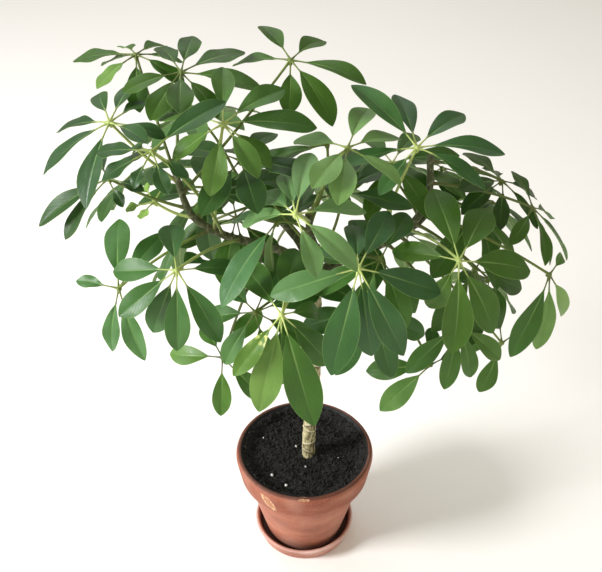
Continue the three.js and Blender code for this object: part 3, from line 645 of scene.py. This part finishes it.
placed = 0
for group, (stem, rows) in enumerate(leafRows.items()):
    for i, (share, hub, tilt, toward, droop, size, spread) in enumerate(rows):
        number = f"{i + 1:02d}"
        key = stem + "_" + number
        lean = Vector((-math.sin(math.radians(toward)), math.cos(math.radians(toward)), 0))
        leaf = {
            "key": key, "stem": stem, "share": share, "hub": np.array(hub, float),
            "turn": np.array(Quaternion(lean, math.radians(tilt)).to_matrix()),
            "droop": droop, "size": size, "seed": 100 * group + 10 * i,
            "look": (leafLooks[stem][i] if stem in leafLooks else
                     (0.34 + 0.14 * wave(group + 0.37 * i), 0.3 + 0.25 * wave(i), 0.4, 0.176)),
        }
        node = "leaf_" + key
        corners = np.array([v.co for v in nodes[node].data.vertices]) / mm
        skin = newSkin()
        addPetiole(skin, matchPetiole(leaf, corners), leaf["look"][2])
        addKnuckle(skin, leaf)
        for index, entry in enumerate(spread):
            own = entry if isinstance(entry, tuple) else (entry,)
            leaflet = matchLeaflet(leaf, corners, index, *own)
            if leaflet:
                addBlade(skin, leaf, leaflet)
                addLeafletStalk(skin, leaf, leaflet)
                placed += 1
        makePiece("palmateLeaf" + stem.capitalize() + number, skin, leafMaterials, [node])
print("leaves made, with", placed, "leaflets")


# Bark: thin, pale and corky, blotched with olive, ridged and lined at the old leaf scars
def corkBark(add, place):
    look = {"bark": [(0.37, "#48412A"), (0.47, "#8E855C"), (0.59, "#C6BC95")], "green": "#3C4726",
            "scarLight": "#DDD5B2", "scarDark": "#2C2416"}
    light, dark, green = add("SeparateColor", {}, add("Attribute", paintedMap)).outputs
    drawnOut = add("Mapping", {"Scale": (1, 1, 0.35)}, place)  # longer up the stem
    blotch = add("TexNoise", {"Scale": 420, "Detail": 5, "Roughness": 0.65}, drawnOut)  # 2.5 mm
    cracks = add("TexNoise", {"Scale": 900, "Detail": 3}, drawnOut)  # 1 mm wide
    colour = add("ValToRGB", {"stops": look["bark"]}, blotch)
    for share, over in ((green, "green"), (light, "scarLight"), (dark, "scarDark")):
        colour = add("Mix", mixColour, share, colour, look[over])
    height = add("Math", timesPlus, cracks, 0.5, blotch)
    bump = add("Bump", {"Strength": 0.5, "Distance": 0.0006, "Height": height})
    return add("BsdfPrincipled", {"Base Color": colour, "Roughness": 0.72, "IOR": 1.45, "Normal": bump})


# Leaf scars climb the stem in a spiral: each is a crescent ridge with a dark line under it
stemSettings = {
    "trunk": {"sides": 40, "ringStep": 0.9, "scarStep": 9.5, "scarHeight": 0.5,
              "paleRidge": 0.85, "darkLine": 0.95, "green": (0, 0.3)},
    "branch": {"sides": 20, "ringStep": 1.6, "scarStep": 6.65, "scarHeight": 0.25,
               "paleRidge": 0.2, "darkLine": 0.5, "green": (0.9, 0.9)},
    "spiral": 2.4, "sag": 2.1, "crest": 2.0, "reach": (1.7, 2.5),
    "climbStray": 0.25, "turnStray": 0.4,  # how unevenly the scars climb and turn
    "ridgeHalf": 0.75, "lineHalf": 0.55, "lineDrop": 1.5, "lineDepth": 0.45,
    "swells": [(0.16, 7, 3), (0.1, 2.3, -2)],  # each one's height, length and lobes
}


def addStem(skin, name):
    look, curve = stemSettings, stemCurves[name]
    own = look.get(name, look["branch"])
    sides, step = own["sides"], own["scarStep"]
    count = int(curve["length"] / own["ringStep"]) + 2
    shares = np.linspace(0, 1, count)
    run = (shares * curve["length"])[:, None]
    turn = anglesRound(sides)[None]
    radius = np.interp(shares, (0, 1), stems[name]["radii"])[:, None] * np.ones_like(turn)
    ridge, line = np.zeros((count, sides)), np.zeros((count, sides))
    for k in range(int(curve["length"] / step) + 1):
        centre = (k + look["climbStray"] * wave(k)) * step
        middle = look["spiral"] * k + look["turnStray"] * wave(k + 0.5)
        away = (turn - middle + math.pi) % (2 * math.pi) - math.pi
        low = run - centre + look["sag"] * abs(away) - look["crest"]
        reach = 1 - smoothStep(*look["reach"], abs(away))
        ridge = np.maximum(ridge, np.exp(-((low / look["ridgeHalf"]) ** 2)) * reach)
        under = (low + look["lineDrop"]) / look["lineHalf"]
        line = np.maximum(line, np.exp(-(under ** 2)) * reach)
    radius = radius + own["scarHeight"] * (ridge - look["lineDepth"] * line)
    radius += sum(high * np.sin(run / far + lobes * turn) for high, far, lobes in look["swells"])
    maps = np.zeros((count, sides, 4))
    maps[:, :, 0], maps[:, :, 1] = own["paleRidge"] * ridge, own["darkLine"] * line
    maps[:, :, 2] = np.interp(shares, (0, 1), own["green"])[:, None]
    addLoft(skin, tubeRings(curve, shares, radius, sides), maps)


woodSkin = newSkin()
for stemName in stems:
    addStem(woodSkin, stemName)
bark = makeMaterial("corkBark", corkBark)
makePiece("woodyStem", woodSkin, [bark], ["trunk"], sharpAngle=80)
print("stem made")


# Fired earthenware: porous and matt, red-brown, clouded with pale salts that dried out of it. The
# map gives the share of salts; of dark soil stain with painted shade, inside the pot, on its lip and
# in the saucer; of the chips, each pale round a darker middle painted as shade in its hollow, the
# thin one on the rim partly a painted highlight; and of painted shade that darkens the collar.
def firedEarthenware(add, place, look):
    surface = add("Attribute", paintedMap)
    salts, stain, chip = add("SeparateColor", {}, surface).outputs
    banded = add("Mapping", {"Scale": (1, 1, 2.2)}, place)  # flattened by throwing
    cloud = add("TexNoise", {"Scale": 24, "Detail": 5, "Roughness": 0.55}, banded)  # 40 mm long
    grog = add("TexNoise", {"Scale": 520, "Detail": 3, "Roughness": 0.6}, place)  # drawn coarse, 2 mm
    dust = add("MapRange", fade, grog, 0.45, 0.75, 0, look["bloomShare"])
    # soil stain with painted shade: inside the pot, on the lip and in the saucer the clay darkens
    lessStainAndShade = add("Math", {"operation": "SUBTRACT"}, stain, 0.12)
    uneven = add("Math", timesPlus, grog, 0.24, lessStainAndShade)
    stainAndShadeShare = add("MapRange", fade, uneven, 0.2, 0.6, 0, 1)
    crumbled = add("TexNoise", {"Scale": 420, "Detail": 4, "Roughness": 0.7}, place)
    raggedMark = add("Math", timesPlus, crumbled, 0.9, chip)
    chipAndHighlightShare = add("MapRange", fade, raggedMark, 0.62, 0.72, 0, 1)
    deeper = add("Math", timesPlus, grog, 1.6, chip)
    # the darker middle is painted shade in the chip's hollow
    middle = add("MapRange", fade, deeper, 0.9, 1.3, 0, 0.85)
    chipPaleAndShaded = add("Mix", mixColour, middle, *look["chip"])
    colour = add("ValToRGB", {"stops": look["fired"]}, cloud)
    # first the collar's painted shade, then salts, soil stain with painted shade, and the chips
    for share, over in ((surface.outputs["Alpha"], look["damp"]), (dust, look["bloom"]),
                        (salts, look["bloom"]), (stainAndShadeShare, look["stain"]), (chipAndHighlightShare, chipPaleAndShaded)):
        colour = add("Mix", mixColour, share, colour, over)
    throwing = add("TexWave", {"bands_direction": "Z", "Scale": 70, "Distortion": 4, "Detail": 2}, place)
    grooves = add("Math", timesPlus, throwing.outputs["Fac"], 0.35, grog)
    height = add("Math", timesPlus, chipAndHighlightShare, -1.8, grooves)
    bump = add("Bump", {"Strength": 0.3, "Distance": 0.0005, "Height": height})
    matt = add("MapRange", fade, grog, 0.3, 0.7, *look["roughness"])
    return add("BsdfPrincipled", {"Base Color": colour, "Roughness": matt, "IOR": 1.5,
                                  "Specular IOR Level": 0.4, "Normal": bump})


# A closed profile of (radius, height, rounding) corners, with each corner turned as a small arc
def roundedProfile(corners):
    spacing = 2.0
    points = []
    count = len(corners)
    for i, (r, z, rounding) in enumerate(corners):
        here = np.array([r, z], float)
        before = np.array(corners[i - 1][:2], float) - here
        after = np.array(corners[(i + 1) % count][:2], float) - here
        reach = min(rounding, 0.48 * np.linalg.norm(before), 0.48 * np.linalg.norm(after))
        a = here + before / np.linalg.norm(before) * reach
        b = here + after / np.linalg.norm(after) * reach
        t = np.linspace(0, 1, 7 if rounding else 1)[:, None]
        points += list((1 - t) ** 2 * a + 2 * t * (1 - t) * here + t * t * b if rounding else [here])
    line = []
    for i, start in enumerate(points):
        end = points[(i + 1) % len(points)]
        steps = max(1, int(np.linalg.norm(end - start) / spacing))
        line += [start + (end - start) * k / steps for k in range(steps)]
    return np.array(line)


# Turns the pot or the saucer from a profile that stays off the axis; surfaceMap maps its points
def makeClay(node, look, corners, surfaceMap):
    profile = roundedProfile(corners)[::-1]
    sides = look["sides"]
    turn = anglesRound(sides)
    r, z = profile[:, 0][None], profile[:, 1][None]
    out = r * (1 + look["wobble"] * (np.sin(2 * turn + 0.8) + 0.6 * np.sin(3 * turn))[:, None])
    rings = np.stack([out * np.cos(turn)[:, None], out * np.sin(turn)[:, None],
                      np.broadcast_to(z, out.shape)], axis=2)
    a = np.arange(sides * len(profile)).reshape(sides, len(profile))
    b = np.roll(a, -1, axis=0)
    quads = np.stack([a, b, np.roll(b, -1, axis=1), np.roll(a, -1, axis=1)], axis=2).reshape(-1, 4)
    points = rings.reshape(-1, 3)
    skin = newSkin()
    addShape(skin, points, surfaceMap(points), quads.tolist(), [0] * len(quads))
    clay = makeMaterial("firedEarthenware" + node.capitalize(), firedEarthenware, look["look"])
    makePiece("terracotta" + node.capitalize(), skin, [clay], [node])


potSettings = {
    "bottom": 5.3, "top": 111, "footRadius": 37, "bodyRadius": 56, "collarBottom": 84,
    "collarRadius": 61, "rimRadius": 65, "wall": 5.5, "holeRadius": 6, "sides": 220,
    "wobble": 0.0012,  # how far from round, as a share of the radius
    # each chip: its middle, half its width and height, and how far it leans; the thin second one, on
    # the rim's front, is partly a painted highlight, and each chip's darker middle is painted shade
    "chipsAndHighlight": [((-33, -54, 96), (7, 12.5), 0.42), ((-1, -64.5, 109.6), (8, 1.0), 0)],
    "salts": {"collar": 0.12, "foot": 0.28, "body": 0.1, "patches": 0.16},
    # how dark the lip is, with soil stain and painted shade, and how much painted shade darkens the collar
    "lipStainAndShade": 0.42, "collarShadeShare": 0.4, "flareFrom": 100, "flare": 0.21,
    "look": {"fired": [(0.3, "#783D29"), (0.5, "#955138"), (0.7, "#AC6C50")], "bloom": "#D2AA98",
             "damp": "#7A3E29", "stain": "#12110F", "chip": ("#DDB994", "#9C6644"), "bloomShare": 0.16,
             "roughness": (0.64, 0.78)},
}


def innerRadiusAt(z):
    look = potSettings
    slope = (look["bodyRadius"] - look["footRadius"]) / (look["collarBottom"] - look["bottom"])
    below = look["footRadius"] + slope * (z - look["bottom"]) - look["wall"]
    return below + max(0.0, z - look["flareFrom"]) * look["flare"]  # it opens out under the lip


def potMap(points):
    look = potSettings
    x, y, z = points.T
    r = np.hypot(x, y)
    top, rim, edge = look["top"], look["rimRadius"], look["collarBottom"]
    # the inside wall above the soil darkens, partly soil stain and partly painted shade in the pot's
    # hollow
    inside = smoothStep(3.6, 5.4, rim + (z - top) * 0.25 - r) * smoothStep(edge - 4, edge + 8, z)
    # the lip's inner edge darkens, partly stain and partly painted shade
    lip = look["lipStainAndShade"] * smoothStep(0.3, 1.9, rim - r) * smoothStep(top - 5, top - 2, z)
    collar = np.exp(-((z - edge - 1) / 1.6) ** 2) * smoothStep(rim - 7, rim - 5, r)
    foot = np.exp(-((z - look["bottom"]) / 5) ** 2)
    body = 1 - smoothStep(edge - 14, edge - 2, z)
    patches = smoothStep(-0.2, 1.3, relief(points, 42, 5))
    chip = np.zeros(len(points))
    # the chips' marks; the thin one on the rim is partly a painted highlight
    for place, (wide, high), lean in look["chipsAndHighlight"]:
        away = points - np.array(place)
        around = (away[:, 0] * -place[1] + away[:, 1] * place[0]) / math.hypot(*place[:2])
        slanted = around + lean * away[:, 2]
        oval = 1 - np.hypot(slanted / wide, away[:, 2] / high)
        facing = away @ np.array([*place[:2], 0]) > -300  # only this side of the pot
        chip = np.maximum(chip, np.where(facing, oval, 0))
    share = look["salts"]
    salts = np.clip(share["collar"] * collar + share["foot"] * foot + share["body"] * body
                    + share["patches"] * patches, 0, 0.6)
    # painted shade: the collar and all above it are darkened
    damp = look["collarShadeShare"] * smoothStep(edge - 3, edge + 3, z)
    return np.stack([salts, np.maximum(inside, lip), np.clip(chip, 0, 1), damp], axis=1)


def makePot():
    look = potSettings
    bottom, top, rim = look["bottom"], look["top"], look["rimRadius"]
    edge, flareFrom, inside = look["collarBottom"], look["flareFrom"], bottom + 6
    makeClay("pot", look, [
        (look["holeRadius"], bottom, 0.8), (look["footRadius"], bottom, 1.6),
        (look["bodyRadius"], edge - 1.2, 1.0), (look["collarRadius"], edge - 1.0, 1.6),
        (rim, top - 4, 3.0), (rim - 2.6, top + 0.1, 2.2), (rim - 6.2, top - 1.2, 2.2),
        (innerRadiusAt(flareFrom), flareFrom, 3.0), (innerRadiusAt(inside), inside, 4.0),
        (look["holeRadius"], inside, 0.8),
    ], potMap)


saucerSettings = {
    "footRadius": 43.5, "rimRadius": 49, "height": 17, "wall": 4, "floor": 5, "sides": 180,
    # how dark the saucer's floor is along its wall, with soil stain and painted shade
    "wobble": 0.001, "salts": {"rim": 0.3, "patches": 0.35}, "insideStainAndShade": 0.5,
    "look": {"fired": [(0.3, "#925744"), (0.5, "#A86F5C"), (0.7, "#BE8978")], "bloom": "#E4C8BE",
             "damp": "#7A3E29", "stain": "#3A2820", "chip": ("#D8B08C", "#8A5B3E"), "bloomShare": 0.2,
             "roughness": (0.62, 0.76)},
}


def saucerMap(points):
    look = saucerSettings
    x, y, z = points.T
    rim = smoothStep(look["height"] - 5, look["height"] - 0.5, z)
    patches = smoothStep(-0.2, 1.3, relief(points, 36, 9))
    wall = look["footRadius"] + 2 + (z - look["floor"]) * 0.3
    # the floor along the wall darkens, partly soil stain and partly painted shade under the pot
    inner = smoothStep(0.5, 3, wall - np.hypot(x, y)) * smoothStep(look["floor"] - 2, look["floor"], z)
    share = look["salts"]
    maps = np.zeros((len(points), 4))
    maps[:, 0] = np.clip(share["rim"] * rim + share["patches"] * patches, 0, 0.65) * (1 - inner)
    maps[:, 1] = look["insideStainAndShade"] * inner * (1 - 0.8 * rim)
    return maps


def makeSaucer():
    look = saucerSettings
    foot, rim, height, wall = look["footRadius"], look["rimRadius"], look["height"], look["wall"]
    makeClay("saucer", look, [
        (0.4, 0, 0), (foot, 0, 1.6), (rim, height - 1.6, 2.0), (rim - wall / 2, height + 0.1, 1.6),
        (rim - wall, height - 1.4, 1.4), (foot - 1.2, look["floor"], 2.4), (0.4, look["floor"], 0),
    ], saucerMap)


makePot()
makeSaucer()
print("pot and saucer made")


# Damp peat compost: near black, crumbly and without shine, with grey specks of sand and fibre
def peatCompost(add, place):
    look = {"crumb": [(0.35, "#0E0E0D"), (0.55, "#1F1E1C"), (0.78, "#383733")], "speck": "#8F8E86"}
    crumbs = add("TexNoise", {"Scale": 620, "Detail": 6, "Roughness": 0.7}, place)  # 1.5 mm
    fibres = add("TexVoronoi", {"Scale": 900}, place)  # 1 mm apart
    sand = add("TexNoise", {"Scale": 1300, "Detail": 1}, place)  # 0.8 mm
    specks = add("MapRange", fade, sand, 0.7, 0.76, 0, 0.6)
    earth = add("ValToRGB", {"stops": look["crumb"]}, crumbs)
    colour = add("Mix", mixColour, specks, earth, look["speck"])
    height = add("Math", plus, crumbs, fibres)
    bump = add("Bump", {"Strength": 0.7, "Distance": 0.001, "Height": height})
    return add("BsdfPrincipled", {"Base Color": colour, "Roughness": 0.92, "IOR": 1.4, "Normal": bump})


# Perlite: blown volcanic glass, chalk white with tiny pits
def perlite(add, place):
    look = {"grey": "#CFCBC0", "white": "#F4F2EC"}
    pits = add("TexNoise", {"Scale": 1500, "Detail": 3}, place)  # 0.7 mm
    chalk = add("Mix", mixColour, pits, look["grey"], look["white"])
    bump = add("Bump", {"Strength": 0.5, "Distance": 0.0004, "Height": pits})
    return add("BsdfPrincipled", {"Base Color": chalk, "Roughness": 0.8, "IOR": 1.5, "Normal": bump})


soilSettings = {
    "level": 102, "bankTop": 108.2, "bankWidth": 9, "bottom": 11.6, "rings": 46, "sides": 150,
    "heap": 0.6, "reliefs": [(0.45, 5.5, 3), (0.4, 2.6, 4)],  # each relief's height, size and seed
    "crumbs": 2600, "crumbSize": (0.4, 1.5), "crumbStretch": [1, 1, 1.6, 2.6], "edgeRoom": 1, "seed": 11,
    # the grains that lie on top, in the open
    "grains": [(-8, 8, 1.2), (1, -18, 0.9), (-30, -28, 1.4), (-17, -40, 1.2), (-40, 20, 0.7),
               (32, -6, 0.5)],
}


def soilHeight(x, y):
    look = soilSettings
    heap = np.sin(x / 7.3) * np.cos(y / 6.1) + 0.6 * np.sin(x / 3.1 + y / 4.3)
    flat = np.stack([x, y, np.zeros_like(x)], axis=-1).reshape(-1, 3)
    fine = sum(high * relief(flat, size, seed) for high, size, seed in look["reliefs"])
    fine = fine.reshape(np.shape(x))
    edge = innerRadiusAt(look["bankTop"])
    bank = smoothStep(edge - look["bankWidth"], edge, np.hypot(x, y))  # earth pushed up against the wall
    return look["level"] + look["heap"] * heap + fine + (look["bankTop"] - look["level"]) * bank


def addGrain(skin, centre, size, draw, stretch=1.0):
    levels, around = 4, 7
    shares = np.linspace(0.12, 0.88, levels)
    turn = anglesRound(around) + draw.uniform(0, 6)
    ball = np.zeros((levels, around, 3))
    ball[:, :, 0] = np.sin(math.pi * shares)[:, None] * np.cos(turn)
    ball[:, :, 1] = np.sin(math.pi * shares)[:, None] * np.sin(turn)
    ball[:, :, 2] = -np.cos(math.pi * shares)[:, None]
    ball *= size * draw.uniform(0.7, 1.25, (levels, around, 1))
    ball[:, :, 0] *= stretch
    turnTo = Quaternion(draw.normal(size=4)).normalized().to_matrix()
    addLoft(skin, ball @ np.array(turnTo).T + centre)


def makeSoil():
    look = soilSettings
    draw = np.random.default_rng(look["seed"])
    edge = innerRadiusAt(look["bankTop"]) + 0.2
    turn = anglesRound(look["sides"])
    rings = []
    for r, z in ((innerRadiusAt(look["bottom"]) - 4, look["bottom"]),
                 (innerRadiusAt(16) - 0.4, 16), (innerRadiusAt(97) - 0.3, 97)):
        rings.append(np.stack([r * np.cos(turn), r * np.sin(turn), np.full_like(turn, z)], axis=1))
    for k in range(look["rings"]):
        r = edge * (1 - k / look["rings"])
        x, y = r * np.cos(turn), r * np.sin(turn)
        rings.append(np.stack([x, y, soilHeight(x, y)], axis=1))
    skin = newSkin()
    addLoft(skin, np.array(rings))
    for _ in range(look["crumbs"]):
        r = (edge - look["edgeRoom"]) * math.sqrt(draw.uniform(0.02, 1))
        way = draw.uniform(0, 2 * math.pi)
        x, y = r * math.cos(way), r * math.sin(way)
        size = draw.uniform(*look["crumbSize"]) * draw.uniform(0.5, 1)
        centre = [x, y, soilHeight(x, y) + 0.15 * size]
        addGrain(skin, centre, size, draw, draw.choice(look["crumbStretch"]))
    makePiece("crumblySoil", skin, [makeMaterial("peatCompost", peatCompost)], ["soil"])
    white = newSkin()
    for x, y, size in look["grains"]:
        addGrain(white, [x, y, soilHeight(x, y) + 0.6 + size / 2], size, draw)
    makePiece("perliteGrains", white, [makeMaterial("perlite", perlite)], [])


makeSoil()
print("soil made")


# Studio: a seamless pale sweep, a soft key from the left and front, and light from all round
studioSettings = {
    "floor": ("#F8F6F1", "#FBFAF6"), "floorRough": 0.9, "floorReach": 6,
    "lamps": {
        "key": {"place": (-1.5, -0.5, 0.92), "size": 0.5, "power": 44, "colour": "#FCFCFF"},
        "top": {"place": (-0.6, 1.5, 2.3), "size": 2.4, "power": 28, "colour": "#F3F6FF"},
        "fill": {"place": (1.0, -1.5, 0.45), "size": 1.6, "power": 8.5, "colour": "#FFFDF8"},
    },
    "lampAim": (0, 0, 0.2), "world": "#FCF4E4", "worldStrength": 0.5,
}


# Paper: matt and nearly white, with a faint cloudiness a hand or two wide
def paperSweep(add, place):
    mottle = add("TexNoise", {"Scale": 3}, place)
    white = add("Mix", mixColour, mottle, *studioSettings["floor"])
    return add("BsdfPrincipled", {"Base Color": white, "Roughness": studioSettings["floorRough"]})


def makeStudio():
    look = studioSettings
    mesh = bpy.data.meshes.new("floor")
    corners = [(x * look["floorReach"], y * look["floorReach"], 0)
               for x, y in ((-1, -1), (1, -1), (1, 1), (-1, 1))]
    mesh.from_pydata(corners, [], [(0, 1, 2, 3)])
    mesh.materials.append(makeMaterial("paperSweep", paperSweep))
    floor = addObject("floor", mesh)
    for name, own in look["lamps"].items():
        light = bpy.data.lights.new(name, "AREA")
        light.energy, light.size = own["power"], own["size"]
        light.color = toLinear(own["colour"])[:3]
        lamp = addObject(name, light)
        lamp.location = own["place"]
        aim = Vector(look["lampAim"]) - lamp.location
        lamp.rotation_euler = aim.to_track_quat("-Z", "Y").to_euler()
    world = bpy.data.worlds.new("studio")
    world.use_nodes = True
    world.node_tree.nodes.clear()
    sky = addNode(world.node_tree, "Background",
                  {"Color": look["world"], "Strength": look["worldStrength"]})
    addNode(world.node_tree, "OutputWorld", {}, sky)
    bpy.context.scene.world = world
    bpy.context.scene.view_settings.view_transform = "Standard"


makeStudio()
print("studio made")
